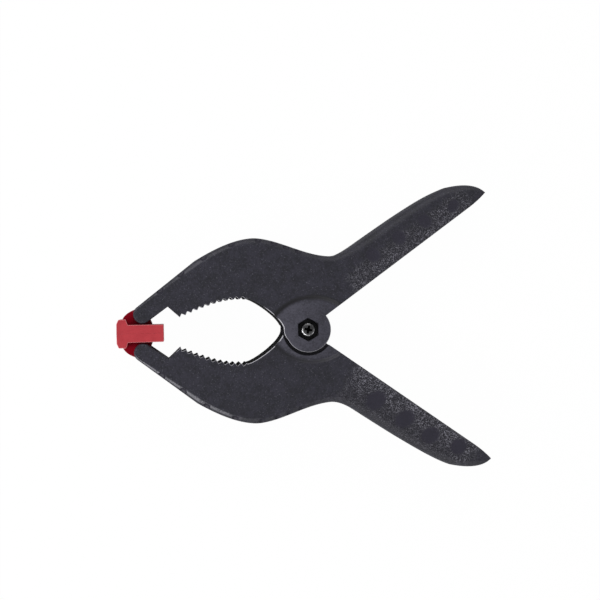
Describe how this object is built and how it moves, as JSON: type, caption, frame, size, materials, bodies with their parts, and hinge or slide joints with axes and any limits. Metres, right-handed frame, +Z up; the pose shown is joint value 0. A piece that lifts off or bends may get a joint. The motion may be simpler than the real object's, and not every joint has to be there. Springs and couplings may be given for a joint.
{
  "type": "spring clamp",
  "caption": "Moulded spring clamp with a serrated oval throat, swivelling jaw pads, channel-section handles and a torsion spring round a screwed pivot.",
  "frame": {"origin": "middle of the base of the clamp's bounding box, with the clamp lying on its flat side", "axes": "+X along the clamp from the pads to the handle tips, +Y towards the upper arm's side, +Z up through the clamp's width, along the pivot"},
  "size_m": [0.2206, 0.1686, 0.032],
  "materials": {
    "arm_nylon": "fine moulded grain, soft sheen",
    "pad_plastic": "smooth moulded, soft sheen",
    "screw_steel": "blackened steel, worn on the rim",
    "washer_steel": "blackened steel",
    "sleeve_steel": "turned, zinc plated",
    "spring_steel": "oiled spring wire"
  },
  "bodies": {
    "lower_arm": {"lower_arm": "arm_nylon", "pivot_screw": "screw_steel", "pivot_washer": "washer_steel", "sleeve_nut": "sleeve_steel", "torsion_spring": "spring_steel"},
    "upper_arm": {"upper_arm": "arm_nylon"},
    "lower_pad": {"lower_pad": "pad_plastic"},
    "upper_pad": {"upper_pad": "pad_plastic"}
  },
  "joints": [
    {"name": "jaw_open", "type": "hinge", "parent": "lower_arm", "child": "upper_arm", "pos_m": [0.00249, 0, 0.016], "axis": [0, 0, -1], "range_deg": [0, 66], "stiffness_Nm_per_rad": 1.6, "springref_deg": -28.65, "deforming": ["torsion_spring"]},
    {"name": "lower_pad_swivel", "type": "hinge", "parent": "lower_arm", "child": "lower_pad", "pos_m": [-0.09511, -0.0112, 0.016], "axis": [0, 0, -1], "range_deg": [0, 33]},
    {"name": "upper_pad_swivel", "type": "hinge", "parent": "upper_arm", "child": "upper_pad", "pos_m": [-0.09511, 0.0112, 0.016], "axis": [0, 0, 1], "range_deg": [0, 33]}
  ],
  "couplings": [
    {"joint": "lower_pad_swivel", "follows": "jaw_open", "ratio": 0.5},
    {"joint": "upper_pad_swivel", "follows": "jaw_open", "ratio": 0.5}
  ]
}
